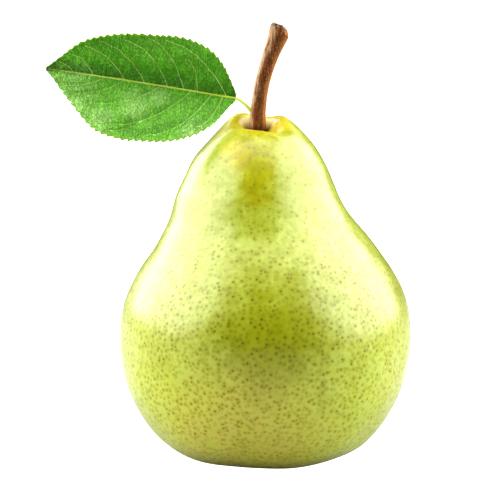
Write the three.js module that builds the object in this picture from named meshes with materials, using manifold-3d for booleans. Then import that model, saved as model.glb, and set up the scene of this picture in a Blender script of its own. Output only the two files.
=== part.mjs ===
// A ripening pear with its woody stem and one leaf, standing on the small flat of its blossom end.
// Millimetres, +Z up. The front of the fruit faces -Y and the leaf reaches out to -X.
// Every piece is first placed around the axis of the fruit's belly, and the whole is shifted at the
// end so that the origin lies under the middle of its box.

import * as THREE from "three";
import { mergeVertices } from "three/addons/utils/BufferGeometryUtils.js";
import Module from "manifold-3d";

// ---------------------------------------------------------------- driving dimensions
const BELLY_RADIUS = 37.6;
const BELLY_HEIGHT = 30.0;
const CROWN_HEIGHT = 86.6;

// The neck stands a little to the left of the belly, between these two heights.
const NECK_LEAN = 2.2;
const LEAN_START = 53;
const LEAN_END = 69;

// The belly's lower part bulges a little to the left.
const LOW_SWAY = 0.4;
const LOW_SWAY_HEIGHT = 15;

// The flat that the fruit rests on is a ring around the blossom-end basin.
const REST_INNER_RADIUS = 10.5;
const REST_OUTER_RADIUS = 14.5;
const CALYX_BASIN_DEPTH = 6.0;

// The foot of the stem stands in a socket in the flesh.
const STEM_FOOT_RADIUS = 2.15;
const SOCKET_FLOOR = 79.5;
const SOCKET_MOUTH = 84.2;
const GAP = 0.3;

const FRUIT_SEGMENTS = 56;
const STEM_SEGMENTS = 18;
const CALYX_SEGMENTS = 40;

// The leaf: where its midrib starts and ends, how thick it is, and how far each half is folded up
// from the plane of the midrib towards the front.
const LEAF_BASE = new THREE.Vector3(-7.7, -0.6, 92.6);
const LEAF_TIP = new THREE.Vector3(-55.5, -4.5, 100.4);
const LEAF_THICKNESS = 0.5;
const LEAF_FOLD = 20;
const LEAF_ARCH = 2.6;
const STALK_RADIUS = 0.42;

const SKIN = { color: 0xc3cf5a, roughness: 0.38, metalness: 0 };
const WOOD = { color: 0x74441b, roughness: 0.7, metalness: 0 };
const LEAF = { color: 0x5c9d36, roughness: 0.55, metalness: 0 };
const DRIED = { color: 0x3c2c1c, roughness: 0.85, metalness: 0 };

// ---------------------------------------------------------------- helpers
const DEGREE = Math.PI / 180;

function smoothstep(start, end, value) {
  return THREE.MathUtils.smoothstep(value, start, end);
}

// A bell of height 1 around 0, which falls to 0.37 at one width.
function bell(distance, width) {
  return Math.exp(-((distance / width) ** 2));
}

// The smallest turn between two azimuths, in degrees.
function turnBetween(a, b) {
  const turn = Math.abs(a - b) % 360;
  return Math.min(turn, 360 - turn);
}

function point(x, y) {
  return new THREE.Vector2(x, y);
}

// Moves every vertex of a geometry by a function of its position.
function reshape(geometry, move) {
  const positions = geometry.getAttribute("position");
  const vertex = new THREE.Vector3();
  for (let i = 0; i < positions.count; i += 1) {
    vertex.fromBufferAttribute(positions, i);
    move(vertex);
    positions.setXYZ(i, vertex.x, vertex.y, vertex.z);
  }
  geometry.computeVertexNormals();
  return geometry;
}

// A solid of revolution about +Z, from a profile of (radius, height) points.
function turned(profile, segments) {
  const geometry = new THREE.LatheGeometry(profile, segments);
  geometry.rotateX(Math.PI / 2);
  return geometry;
}

function piece(name, geometry, look) {
  const mesh = new THREE.Mesh(geometry, new THREE.MeshStandardMaterial(look));
  mesh.name = name;
  return mesh;
}

// ---------------------------------------------------------------- fruit
// The flank of the pear as (radius, height) points, from the flat at the bottom up to the
// foot of the stem: belly, waist, neck, crown and the wall of the stem basin.
const FLANK = [
  point(REST_OUTER_RADIUS, 0),
  point(21.6, 1.5),
  point(27.4, 5.3),
  point(32.5, 12.0),
  point(36.1, 20.6),
  point(BELLY_RADIUS, BELLY_HEIGHT),
  point(36.7, 39.0),
  point(33.1, 47.5),
  point(28.2, 55.2),
  point(23.5, 62.0),
  point(20.4, 69.0),
  point(17.6, 75.4),
  point(14.4, 80.6),
  point(10.8, 84.4),
  point(7.2, CROWN_HEIGHT),
  point(4.7, CROWN_HEIGHT - 0.4),
  point(STEM_FOOT_RADIUS + GAP, SOCKET_MOUTH),
];

const CALYX_BASIN = [
  point(0, CALYX_BASIN_DEPTH),
  point(2.6, CALYX_BASIN_DEPTH - 0.2),
  point(5.2, 4.4),
  point(7.6, 2.0),
  point(9.2, 0.5),
  point(REST_INNER_RADIUS, 0),
];

// Swellings and hollows of the crown: azimuth in degrees, half-width in degrees, distance from the
// neck's axis, half-width of that distance, and height. Azimuth 0 is +X, and -90 is the front.
const CROWN_LOBES = [
  { azimuth: 128, spread: 48, distance: 5.5, reach: 4.5, rise: 1.9 },
  { azimuth: 22, spread: 44, distance: 5.8, reach: 4.8, rise: 1.3 },
  { azimuth: -98, spread: 46, distance: 4.0, reach: 4.5, rise: -1.9 },
  { azimuth: -48, spread: 28, distance: 5.0, reach: 4.2, rise: -2.6 },
  { azimuth: 192, spread: 34, distance: 11.0, reach: 6.0, rise: -1.3 },
];

// Five faint lobes swell the bottom between grooves.
const BOTTOM_LOBES = 5;
const GROOVE_AZIMUTH = -107;
const GROOVE_DEPTH = 0.5;

function shapeFruit(vertex) {
  const distance = Math.hypot(vertex.x, vertex.y);
  const azimuth = Math.atan2(vertex.y, vertex.x) / DEGREE;
  const groove = 0.5 + 0.5 * Math.cos(BOTTOM_LOBES * (azimuth - GROOVE_AZIMUTH) * DEGREE);
  const onUnderside = bell(distance - 23, 6) * (1 - smoothstep(8, 22, vertex.z));
  const offTheFlat = smoothstep(REST_OUTER_RADIUS, REST_OUTER_RADIUS + 4, distance);
  vertex.z += GROOVE_DEPTH * groove * onUnderside * offTheFlat;
  const onCrown = smoothstep(76, 82, vertex.z) * smoothstep(2.5, 4.2, distance);
  for (const lobe of CROWN_LOBES) {
    const around = bell(turnBetween(azimuth, lobe.azimuth), lobe.spread);
    const outward = bell(distance - lobe.distance, lobe.reach);
    vertex.z += lobe.rise * around * outward * onCrown;
  }
  vertex.x -= NECK_LEAN * smoothstep(LEAN_START, LEAN_END, vertex.z);
  vertex.x -= LOW_SWAY * bell(vertex.z - LOW_SWAY_HEIGHT, 11) * offTheFlat;
}

function makeFruit() {
  const flank = new THREE.SplineCurve(FLANK).getSpacedPoints(34);
  const basin = new THREE.SplineCurve(CALYX_BASIN).getSpacedPoints(7);
  const socket = [point(STEM_FOOT_RADIUS + GAP, SOCKET_FLOOR), point(0, SOCKET_FLOOR)];
  const profile = [...basin, ...flank, ...socket];
  profile.forEach((p) => p.set(Math.max(p.x, 0), Math.max(p.y, 0)));
  const geometry = reshape(turned(profile, FRUIT_SEGMENTS), shapeFruit);
  return piece("fruit", geometry, SKIN);
}

// ---------------------------------------------------------------- stem
// The line that the middle of the stem follows, from the floor of its socket to the broken knob.
const STEM_LINE = new THREE.CatmullRomCurve3([
  new THREE.Vector3(-2.2, 0, SOCKET_FLOOR + GAP),
  new THREE.Vector3(-2.2, 0, 84.6),
  new THREE.Vector3(-1.9, 0, 91.0),
  new THREE.Vector3(-0.7, 0, 97.5),
  new THREE.Vector3(1.2, 0, 103.6),
  new THREE.Vector3(2.9, 0, 108.0),
  new THREE.Vector3(3.8, 0, 111.5),
]);

// Radius of the stem against the fraction of its length.
const STEM_PROFILE = [
  [0.0, 0],
  [0.0, 2.0],
  [0.14, STEM_FOOT_RADIUS],
  [0.3, 1.95],
  [0.5, 1.85],
  [0.68, 1.95],
  [0.82, 2.3],
  [0.92, 2.75],
  [0.965, 2.75],
  [1.0, 2.0],
  [1.0, 0],
];

function makeStem() {
  const length = STEM_LINE.getLength();
  const side = new THREE.SplineCurve(STEM_PROFILE.slice(1, -1).map(([at, r]) => point(r, at * length)));
  const profile = [point(0, 0), ...side.getPoints(22), point(0, length)];
  const geometry = reshape(turned(profile, STEM_SEGMENTS), (vertex) => {
    const along = THREE.MathUtils.clamp(vertex.z / length, 0, 1);
    const centre = STEM_LINE.getPointAt(along);
    const ahead = STEM_LINE.getTangentAt(along);
    const across = new THREE.Vector3(ahead.z, 0, -ahead.x);
    const { x, y } = vertex;
    vertex.copy(centre).addScaledVector(across, x);
    vertex.y += y;
  });
  return piece("stem", geometry, WOOD);
}

// ---------------------------------------------------------------- leaf
// Half-widths of the blade above and below its midrib, as seen from the front, at ten even steps
// of the warped length below. The base is blunt and the tip is drawn out, so the steps start short.
const UPPER_HALF = [0.3, 3.6, 7.8, 11.1, 12.9, 13.4, 12.9, 12.3, 10.9, 7.7, 0.3];
const LOWER_HALF = [0.3, 2.6, 6.8, 10.0, 12.2, 13.7, 14.4, 14.6, 13.0, 7.4, 0.3];
const LENGTH_WARP = 1.5;
const LEAF_STEPS_ALONG = 22;
const LEAF_STEPS_ACROSS = 8;

const MIDRIB = LEAF_TIP.clone().sub(LEAF_BASE);
const ALONG = MIDRIB.clone().normalize();
const TOWARDS_FRONT = new THREE.Vector3(0, -1, 0).addScaledVector(ALONG, ALONG.y).normalize();
const UPWARDS = new THREE.Vector3().crossVectors(ALONG, TOWARDS_FRONT).normalize();

// A point on the middle surface of the blade: part of the length from 0 at the base to 1 at the
// tip, and part of the half-width from -1 at the lower edge to 1 at the upper edge.
function onBlade(lengthPart, widthPart) {
  const step = lengthPart ** (1 / LENGTH_WARP);
  const halves = widthPart > 0 ? UPPER_HALF : LOWER_HALF;
  const outline = new THREE.SplineCurve(halves.map((half, i) => point(i, half)));
  const across = Math.max(outline.getPoint(step).y, 0.3) * widthPart;
  const folded = Math.abs(across) * Math.tan(LEAF_FOLD * DEGREE);
  const arched = LEAF_ARCH * Math.sin(Math.PI * lengthPart);
  return LEAF_BASE.clone()
    .addScaledVector(MIDRIB, lengthPart)
    .addScaledVector(UPWARDS, across)
    .addScaledVector(TOWARDS_FRONT, folded - arched);
}

function makeBlade() {
  const sheet = new THREE.BoxGeometry(1, 2, LEAF_THICKNESS, LEAF_STEPS_ALONG, LEAF_STEPS_ACROSS, 1);
  sheet.translate(0.5, 0, 0);
  return reshape(sheet, (vertex) => {
    const { x, y, z } = vertex;
    vertex.copy(onBlade(x ** LENGTH_WARP, y)).addScaledVector(TOWARDS_FRONT, -z);
  });
}

// The stalk starts at the side of the stem, arches to the base of the blade and goes on
// under the blade as its midrib.
function makeStalk() {
  const line = new THREE.CatmullRomCurve3([
    new THREE.Vector3(-4.5, -0.1, 90.0),
    new THREE.Vector3(-5.5, -0.3, 91.2),
    new THREE.Vector3(-6.7, -0.5, 92.1),
    onBlade(0, 0),
    onBlade(0.06, 0),
    onBlade(0.2, 0),
    onBlade(0.4, 0),
    onBlade(0.62, 0),
    onBlade(0.8, 0),
  ]);
  const ring = new THREE.Shape().absarc(0, 0, STALK_RADIUS, 0, 2 * Math.PI, false);
  return new THREE.ExtrudeGeometry(ring, { extrudePath: line, steps: 34, curveSegments: 8 });
}

const wasm = await Module();
wasm.setup();

function toSolid(geometry) {
  const bare = geometry.clone();
  bare.deleteAttribute("normal");
  bare.deleteAttribute("uv");
  const merged = mergeVertices(bare, 1e-4);
  const vertProperties = new Float32Array(merged.getAttribute("position").array);
  const triVerts = new Uint32Array(merged.index.array);
  return new wasm.Manifold(new wasm.Mesh({ numProp: 3, vertProperties, triVerts }));
}

function toGeometry(solid) {
  const { vertProperties, triVerts } = solid.getMesh();
  const geometry = new THREE.BufferGeometry();
  geometry.setAttribute("position", new THREE.BufferAttribute(new Float32Array(vertProperties), 3));
  geometry.setIndex(new THREE.BufferAttribute(new Uint32Array(triVerts), 1));
  geometry.computeVertexNormals();
  return geometry;
}

function makeLeaf() {
  return piece("leaf", toGeometry(toSolid(makeBlade()).add(toSolid(makeStalk()))), LEAF);
}

// ---------------------------------------------------------------- calyx
// The dried flower in the blossom-end basin: a short tube whose rim is drawn out into five
// sepals, which curl outwards and stay above the surface that the fruit rests on.
const SEPALS = 5;
const SEPAL_AZIMUTH = 20;
const CALYX_PROFILE = [
  point(0, 4.5),
  point(1.4, 4.2),
  point(2.4, 2.8),
  point(4.2, 2.0),
  point(4.4, 2.6),
  point(2.9, 3.6),
  point(2.3, 4.7),
  point(1.9, 5.5),
  point(0, 5.6),
];
const TUBE_RADIUS = 1.7;
const SEPAL_DEPTH = 0.55;

function makeCalyx() {
  const geometry = reshape(turned(CALYX_PROFILE, CALYX_SEGMENTS), (vertex) => {
    const distance = Math.hypot(vertex.x, vertex.y);
    const azimuth = Math.atan2(vertex.y, vertex.x) / DEGREE;
    const between = 0.5 - 0.5 * Math.cos(SEPALS * (azimuth - SEPAL_AZIMUTH) * DEGREE);
    const beyond = Math.max(distance - TUBE_RADIUS, 0);
    const drawnIn = 1 - (SEPAL_DEPTH * between * beyond) / Math.max(distance, 1e-6);
    vertex.x *= drawnIn;
    vertex.y *= drawnIn;
  });
  return piece("calyx", geometry, DRIED);
}

// ---------------------------------------------------------------- the whole pear
const pear = new THREE.Group().add(makeFruit(), makeStem(), makeLeaf(), makeCalyx());
const box = new THREE.Box3().setFromObject(pear, true);
const middle = box.getCenter(new THREE.Vector3());
pear.position.set(-middle.x, -middle.y, -box.min.z);

export default pear;
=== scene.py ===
# %% [markdown]
# # A pear with its stem and one leaf
# The solids of this pear come from a CAD program and fix every size: how wide the belly is, where the
# stem stands and how far the leaf reaches. Here each solid is covered by a finer piece with the skin,
# bark and veins of the real fruit. Lengths are thought of in millimetres, and `MM` turns them into
# Blender's metres. The pear faces -Y, and +X is to its right.

# %% Load the solids
import math

import bmesh
import bpy
from mathutils import Matrix, Vector, geometry, kdtree, noise


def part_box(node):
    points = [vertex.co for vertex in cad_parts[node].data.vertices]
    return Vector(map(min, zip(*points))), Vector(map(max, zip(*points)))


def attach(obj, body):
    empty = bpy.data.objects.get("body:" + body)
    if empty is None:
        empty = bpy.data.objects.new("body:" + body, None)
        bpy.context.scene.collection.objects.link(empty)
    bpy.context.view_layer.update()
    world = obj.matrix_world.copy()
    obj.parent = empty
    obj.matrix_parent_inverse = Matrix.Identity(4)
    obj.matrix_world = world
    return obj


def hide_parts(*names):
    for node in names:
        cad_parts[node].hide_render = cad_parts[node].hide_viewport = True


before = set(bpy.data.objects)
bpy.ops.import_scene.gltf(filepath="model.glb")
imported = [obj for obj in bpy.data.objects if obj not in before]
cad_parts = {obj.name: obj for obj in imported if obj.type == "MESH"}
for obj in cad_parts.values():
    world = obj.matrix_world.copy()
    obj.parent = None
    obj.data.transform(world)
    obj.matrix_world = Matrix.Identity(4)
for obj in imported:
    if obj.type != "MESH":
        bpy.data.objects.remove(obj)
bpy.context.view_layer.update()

# %% [markdown]
# ## Where the pieces stand
# Every piece of the pear is modelled around the upright axis of its belly, in millimetres, and is moved
# to its place at the end. The axis stands almost in the middle of the fruit's own box: the belly swells
# a hair further to the left than to the right. The helper below also gives each piece a smooth surface,
# its materials and the body that it rides on.

# %% Place a finished mesh
MM = 0.001
fruit_low, fruit_high = (Vector(corner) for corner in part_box("fruit"))
AXIS_FROM_MIDDLE = 0.08 * MM
fruit_middle = (fruit_low + fruit_high) / 2
BELLY_AXIS = Vector((fruit_middle.x + AXIS_FROM_MIDDLE, fruit_middle.y, 0))


def add_object(name, data):
    thing = bpy.data.objects.new(name, data)
    bpy.context.scene.collection.objects.link(thing)
    return thing


def make_piece(name, bm, materials):
    """Turns a mesh that was modelled in millimetres around the belly's axis into a piece."""
    bmesh.ops.scale(bm, vec=(MM, MM, MM), verts=bm.verts)
    bmesh.ops.translate(bm, vec=BELLY_AXIS, verts=bm.verts)
    mesh = bpy.data.meshes.new(name)
    bm.to_mesh(mesh)
    bm.free()
    mesh.shade_smooth()
    for material in materials:
        mesh.materials.append(material)
    piece = add_object(name, mesh)
    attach(piece, "root")
    print(name, "has", len(mesh.polygons), "faces")
    return piece


print("belly axis at", tuple(round(value / MM, 2) for value in BELLY_AXIS), "mm")

# %% [markdown]
# ## Curves and turned shapes
# A pear, a stem and a leaf stalk are all turned shapes: one outline spun about an axis, and then bent
# or pressed into their real form. A few outline points are enough when a smooth curve runs through
# them. Neighbours are joined by Bezier curves whose handles follow the points before and after, and
# points are then taken from them at an even spacing, so that the faces come out even too.

# %% Smooth lines, spinning and bending
def smooth_line(points, spacing):
    """Evenly spaced points on the smooth curve that runs through the given ones."""
    points = [Vector(p) for p in points]
    run = [2 * points[0] - points[1], *points, 2 * points[-1] - points[-2]]
    dense = [points[0]]
    for before, start, end, after in zip(run, run[1:], run[2:], run[3:]):
        start_handle = start + (end - before) / 6
        end_handle = end - (after - start) / 6
        dense += geometry.interpolate_bezier(start, start_handle, end_handle, end, 25)[1:]
    reached = [0.0]
    for a, b in zip(dense, dense[1:]):
        reached.append(reached[-1] + (b - a).length)
    count = max(2, round(reached[-1] / spacing))
    even = []
    at = 0
    for i in range(count + 1):
        wanted = reached[-1] * i / count
        while at < len(dense) - 2 and reached[at + 1] < wanted:
            at += 1
        part = (wanted - reached[at]) / max(reached[at + 1] - reached[at], 1e-9)
        even.append(dense[at].lerp(dense[at + 1], part))
    return even


def turn(profile, steps):
    """Spins (radius, height) points once around the Z axis, as on a lathe."""
    bm = bmesh.new()
    verts = [bm.verts.new((p[0], 0, p[1])) for p in profile]
    edges = [bm.edges.new(pair) for pair in zip(verts, verts[1:])]
    bmesh.ops.spin(
        bm, geom=verts + edges, cent=(0, 0, 0), axis=(0, 0, 1), angle=math.tau, steps=steps,
        use_merge=True, use_duplicate=False,
    )
    bmesh.ops.remove_doubles(bm, verts=bm.verts, dist=1e-5)
    bmesh.ops.recalc_face_normals(bm, faces=bm.faces)
    return bm


def ease(start, end, value):
    """0 before start, 1 after end, and a smooth climb between them."""
    part = min(max((value - start) / (end - start), 0), 1)
    return part * part * (3 - 2 * part)


def bell(distance, width):
    """1 at no distance, falling to 0.37 at one width."""
    return math.exp(-((distance / width) ** 2))


def turn_between(a, b):
    """The smallest turn between two azimuths, in degrees."""
    apart = abs(a - b) % 360
    return min(apart, 360 - apart)


print("a test line of", len(smooth_line([(0, 0), (1, 1), (3, 1)], 0.1)), "points")

# %% [markdown]
# ## The flank of the fruit
# Seen from the side, a pear is one line: out from the flat that it rests on, round the belly, in at
# the waist, up the neck and over the crown into the basin where the stem stands. Below, the line ends
# in the basin of the blossom end. Spinning this line gives a true surface with even faces, which a
# sculpted sphere would not.

# %% Turn the fruit
REST_RING = (10.5, 14.5)
BLOSSOM_BASIN = [
    (0, 6.0), (1.3, 5.95), (2.6, 5.8), (5.2, 4.4), (7.6, 2.0), (9.2, 0.5), (REST_RING[0], 0),
]
FLANK = [
    (REST_RING[1], 0), (21.6, 1.5), (27.4, 5.3), (32.5, 12.0), (36.1, 20.6), (37.6, 30.0),
    (36.7, 39.0), (33.1, 47.5), (28.2, 55.2), (23.5, 62.0), (20.4, 69.0), (17.6, 75.4),
    (14.4, 80.6), (10.8, 84.4), (7.2, 86.6), (4.7, 86.2), (2.3, 84.0),
]
STEM_HOLE = [(1.9, 82.5), (1.2, 81.5), (0, 81.2)]
FACE_SIZE = 1.1
FACES_ROUND = 180


def fruit_profile():
    """The whole outline, from the blossom end's middle to the middle of the stem's hole."""
    basin = smooth_line(BLOSSOM_BASIN, FACE_SIZE)
    flank = smooth_line(FLANK, FACE_SIZE)
    hole = smooth_line([FLANK[-1], *STEM_HOLE], FACE_SIZE / 2)
    return [*basin, *flank, *hole[1:]]


fruit_mesh = turn(fruit_profile(), FACES_ROUND)
print("the turned fruit has", len(fruit_mesh.faces), "faces")

# %% [markdown]
# ## Pressing the fruit into its real form
# No pear is a turned shape. The neck leans, the crown is made of swellings with creases between them,
# the bottom has five faint lobes left by the five seed chambers, and the whole skin is slightly lumpy.
# A lump is moved along the normal by a slow three-dimensional noise. The lumps matter more than their
# height suggests: they break up the edges of every reflection.

# %% Shape the fruit
NECK_LEAN = 2.2
LEAN_HEIGHTS = (53, 69)
LOW_SWAY = 0.4
SWAY_HEIGHT = 15
SWAY_REACH = 11
BOTTOM_LOBES = 5
GROOVE_AZIMUTH = -107
GROOVE_DEPTH = 0.5
GROOVE_RADIUS = 23
GROOVE_REACH = 6
GROOVE_HEIGHTS = (8, 22)
CROWN_HEIGHTS = (76, 82)
HOLE_RADII = (2.3, 4.2)

# azimuth and spread in degrees, distance from the neck's axis, reach and rise
CROWN_LOBES = [
    (128, 48, 5.5, 4.5, 1.9),
    (22, 44, 5.8, 4.8, 1.3),
    (-98, 46, 4.0, 4.5, -1.9),
    (-48, 28, 5.0, 4.2, -2.6),
    (192, 34, 11.0, 6.0, -1.3),
]
# size and height of the lumps; the noise leans outwards, so its mean is taken off
LUMPS = [(17, 0.35), (7, 0.16), (2.6, 0.02)]
LUMP_MEAN = 0.12
CALM_HEIGHTS = (1.0, 9.0)


def shape_fruit(bm):
    """Presses the turned fruit into its real form."""
    for vert in bm.verts:
        place = vert.co
        distance = math.hypot(place.x, place.y)
        azimuth = math.degrees(math.atan2(place.y, place.x))
        off_flat = ease(REST_RING[1], REST_RING[1] + 4, distance)
        groove = 0.5 + 0.5 * math.cos(math.radians(BOTTOM_LOBES * (azimuth - GROOVE_AZIMUTH)))
        underside = bell(distance - GROOVE_RADIUS, GROOVE_REACH) * (1 - ease(*GROOVE_HEIGHTS, place.z))
        place.z += GROOVE_DEPTH * groove * underside * off_flat
        on_crown = ease(*CROWN_HEIGHTS, place.z) * ease(*HOLE_RADII, distance)
        for lobe_azimuth, spread, lobe_distance, reach, rise in CROWN_LOBES:
            around = bell(turn_between(azimuth, lobe_azimuth), spread)
            place.z += rise * around * bell(distance - lobe_distance, reach) * on_crown
        place.x -= NECK_LEAN * ease(*LEAN_HEIGHTS, place.z)
        place.x -= LOW_SWAY * bell(place.z - SWAY_HEIGHT, SWAY_REACH) * off_flat
    bm.normal_update()
    for vert in bm.verts:
        calm = ease(*CALM_HEIGHTS, vert.co.z)
        lump = sum(height * noise.noise(vert.co / size) for size, height in LUMPS)
        vert.co += vert.normal * (lump - LUMP_MEAN) * calm
    bm.normal_update()


shape_fruit(fruit_mesh)
fruit_top = max(vert.co.z for vert in fruit_mesh.verts)
print("the crown reaches", round(fruit_top, 2), "mm")
print("the solid reaches", round(fruit_high.z / MM, 2), "mm")

# %% [markdown]
# ## A small hand for shader nodes
# Materials are graphs of nodes. Typing every node and link out in full hides what a material does, so
# this class places a node, feeds its sockets with numbers or with other nodes' outputs, and gives the
# output back. Patterns read the Object coordinates, turned into millimetres, so a speckle of 0.4 is a
# speckle of 0.4 mm.

# %% Node helpers
class Graph:
    """Places nodes in one node tree and joins them."""

    def __init__(self, tree):
        self.tree = tree

    def add(self, kind, sockets=None, **settings):
        node = self.tree.nodes.new("ShaderNode" + kind)
        for name, value in settings.items():
            setattr(node, name, value)
        self.feed_all(node, sockets or {})
        return node

    def feed_all(self, node, values):
        for name, value in values.items():
            self.feed(node.inputs[name], value)

    def feed(self, socket, value):
        if isinstance(value, bpy.types.NodeSocket):
            self.tree.links.new(value, socket)
        else:
            socket.default_value = value

    def math(self, operation, *values):
        return self.add("Math", dict(enumerate(values)), operation=operation).outputs[0]

    def map(self, value, factor, offset):
        return self.math("MULTIPLY_ADD", value, factor, offset)

    def product(self, first, *others):
        for other in others:
            first = self.math("MULTIPLY", first, other)
        return first

    def mix(self, factor, a, b, blend="MIX"):
        opaque = [(*colour, 1) if isinstance(colour, tuple) else colour for colour in (a, b)]
        sockets = {0: factor, 6: opaque[0], 7: opaque[1]}
        return self.add("Mix", sockets, data_type="RGBA", blend_type=blend).outputs[2]

    def ease(self, value, low, high, to_low=0.0, to_high=1.0):
        sockets = {"Value": value, 1: low, 2: high, 3: to_low, 4: to_high}
        return self.add("MapRange", sockets, interpolation_type="SMOOTHSTEP").outputs[0]

    def noise(self, vector, size, detail=2.0, rough=0.5, distortion=0.0):
        sockets = {
            "Vector": vector, "Scale": 1 / size, "Detail": detail, "Roughness": rough,
            "Distortion": distortion,
        }
        return self.add("TexNoise", sockets).outputs[0]

    def stretch(self, vector, factors):
        return self.add("VectorMath", {0: vector, 1: factors}, operation="MULTIPLY").outputs[0]

    def shake(self, vector, scale):
        """Moves every place by a noise, so that a pattern gets ragged."""
        moved = self.add("TexNoise", {"Vector": vector, "Scale": scale}).outputs[1]
        return self.add("VectorMath", {0: vector, 1: moved}, operation="ADD").outputs[0]

    def along(self, axis, vector):
        return self.add("SeparateXYZ", {0: vector}).outputs["XYZ".index(axis)]

    def stored(self, name, output="Fac"):
        """A value that was kept on the mesh."""
        return self.add("Attribute", attribute_name=name).outputs[output]

    def millimetres(self):
        where = self.add("TexCoord").outputs["Object"]
        from_axis = self.add("VectorMath", {0: where, 1: tuple(BELLY_AXIS)}, operation="SUBTRACT")
        return self.stretch(from_axis.outputs[0], (1 / MM, 1 / MM, 1 / MM))

    def distance_to(self, vector, spot, shrink=None):
        """How far a place is from a spot; shrink makes a direction count for less."""
        if shrink:
            vector = self.stretch(vector, shrink)
            spot = tuple(a * b for a, b in zip(spot, shrink))
        return self.add("VectorMath", {0: vector, 1: spot}, operation="DISTANCE").outputs["Value"]

    def bump(self, height, depth, normal=None):
        sockets = {"Height": height, "Distance": depth * MM, "Strength": 1.0}
        if normal is not None:
            sockets["Normal"] = normal
        return self.add("Bump", sockets).outputs[0]


def new_group(name, inputs, outputs):
    """A node group that takes a vector and some numbers, and the graph to fill it with."""
    tree = bpy.data.node_groups.new(name, "ShaderNodeTree")
    tree.interface.new_socket("Vector", in_out="INPUT", socket_type="NodeSocketVector")
    for socket in inputs:
        tree.interface.new_socket(socket, in_out="INPUT", socket_type="NodeSocketFloat")
    for socket in outputs:
        tree.interface.new_socket(socket, in_out="OUTPUT", socket_type="NodeSocketFloat")
    entry = tree.nodes.new("NodeGroupInput").outputs
    leave = tree.nodes.new("NodeGroupOutput").inputs
    return Graph(tree), entry, leave


def new_material(name):
    """A material with a Principled shader, and the graph to fill it with."""
    material = bpy.data.materials.new(name)
    material.use_nodes = True
    shader = material.node_tree.nodes["Principled BSDF"]
    return material, Graph(material.node_tree), shader


print("node helpers ready")

# %% [markdown]
# ## Effects that several materials share
# Three effects come back on every surface of a plant. **Speckles** are small round spots strewn at
# random, such as the breathing pores of a fruit. A three-dimensional Voronoi texture gives them: where
# a cell's centre lies close under the surface there is a large spot, where it lies deeper a small one,
# so the sizes vary by themselves. **Mottle** is a soft patchiness, and **fibres** are streaks along one
# direction. Each is built once as a node group and placed with its own values.

# %% Shared node groups
def build_speckles():
    graph, entry, leave = new_group("speckles", ("Spacing", "Radius", "Softness"), ("Mask", "Chance"))
    shrunk = graph.add("VectorMath", {0: entry["Vector"], 1: entry["Spacing"]}, operation="DIVIDE")
    cells = graph.add("TexVoronoi", {"Vector": shrunk.outputs[0], "Scale": 1.0})
    apart = graph.product(cells.outputs["Distance"], entry["Spacing"])
    inner = graph.math("SUBTRACT", entry["Radius"], entry["Softness"])
    graph.feed(leave["Mask"], graph.ease(apart, entry["Radius"], inner))
    graph.feed(leave["Chance"], graph.add("SeparateColor", {0: cells.outputs["Color"]}).outputs[0])
    return graph.tree


def build_mottle():
    graph, entry, leave = new_group("mottle", ("Size", "Contrast", "Balance"), ("Mask",))
    shrunk = graph.add("VectorMath", {0: entry["Vector"], 1: entry["Size"]}, operation="DIVIDE")
    patches = graph.noise(shrunk.outputs[0], 1.0, detail=4.0, rough=0.6, distortion=0.5)
    raised = graph.map(graph.math("SUBTRACT", patches, entry["Balance"]), entry["Contrast"], 0.5)
    graph.feed(leave["Mask"], graph.add("Clamp", {"Value": raised}).outputs[0])
    return graph.tree


def build_fibres():
    graph, entry, leave = new_group("fibres", ("Width", "Length"), ("Mask",))
    sizes = graph.add("CombineXYZ", {0: entry["Width"], 1: entry["Width"], 2: entry["Length"]})
    shrunk = graph.add("VectorMath", {0: entry["Vector"], 1: sizes.outputs[0]}, operation="DIVIDE")
    streaks = graph.noise(shrunk.outputs[0], 1.0, detail=3.0, rough=0.55, distortion=0.3)
    graph.feed(leave["Mask"], graph.ease(streaks, 0.3, 0.7))
    return graph.tree


GROUPS = {"speckles": build_speckles(), "mottle": build_mottle(), "fibres": build_fibres()}


def use_group(graph, name, where, *values):
    """Places a shared group with its own values, in the order of its inputs."""
    sockets = dict(enumerate((where, *values)))
    return graph.add("Group", sockets, node_tree=GROUPS[name]).outputs


def speckles(graph, where, spacing, radius, softness):
    """The spots' mask, and a random number for each spot."""
    return tuple(use_group(graph, "speckles", where, spacing, radius, softness))


def mottle(graph, where, size, contrast=2.4, balance=0.5):
    return use_group(graph, "mottle", where, size, contrast, balance)["Mask"]


def fibres(graph, where, width, length):
    return use_group(graph, "fibres", where, width, length)["Mask"]


print("groups:", sorted(GROUPS))

# %% [markdown]
# ## The skin's colours
# A ripening pear is yellow-green, with a deeper green patch on the front of the belly, paler patches
# around it, and a duller back. Gold runs around the stem, and a faint tan blush lies on the lower
# front. Each region is the distance to one spot, made uneven by the mottle, so no border is a circle.
# A small patch on the neck is deeper in colour: a tint multiplies the skin there.

# %% Ground colours of the skin
SKIN_GREEN = (0.315, 0.345, 0.000)
SKIN_YELLOW = (0.330, 0.360, 0.001)
SKIN_RIPE = (0.570, 0.640, 0.045)
SKIN_PALE = (0.520, 0.620, 0.150)
SKIN_SHADED = (0.250, 0.310, 0.050)
SKIN_GOLD = (0.700, 0.520, 0.012)
SKIN_TAN = (0.640, 0.500, 0.070)
NECK_TINT = (0.980, 0.860, 0.000)

# middles of the regions, in millimetres from the belly's axis
GREEN_PATCH = (3.5, -36.0, 36.0)
BLUSH = (-6.0, -30.0, 8.0)
STEM_FOOT = (-2.2, 0.0, 84.0)
STEM_FOOT_SHRINK = (1.0, 1.0, 0.35)
GOLD_SMUDGE = (-7.5, -12.0, 79.5)
NECK_PATCH = (-2.6, -14.0, 76.5)
NECK_PATCH_SHRINK = (1.0, 0.5, 0.55)


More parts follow.
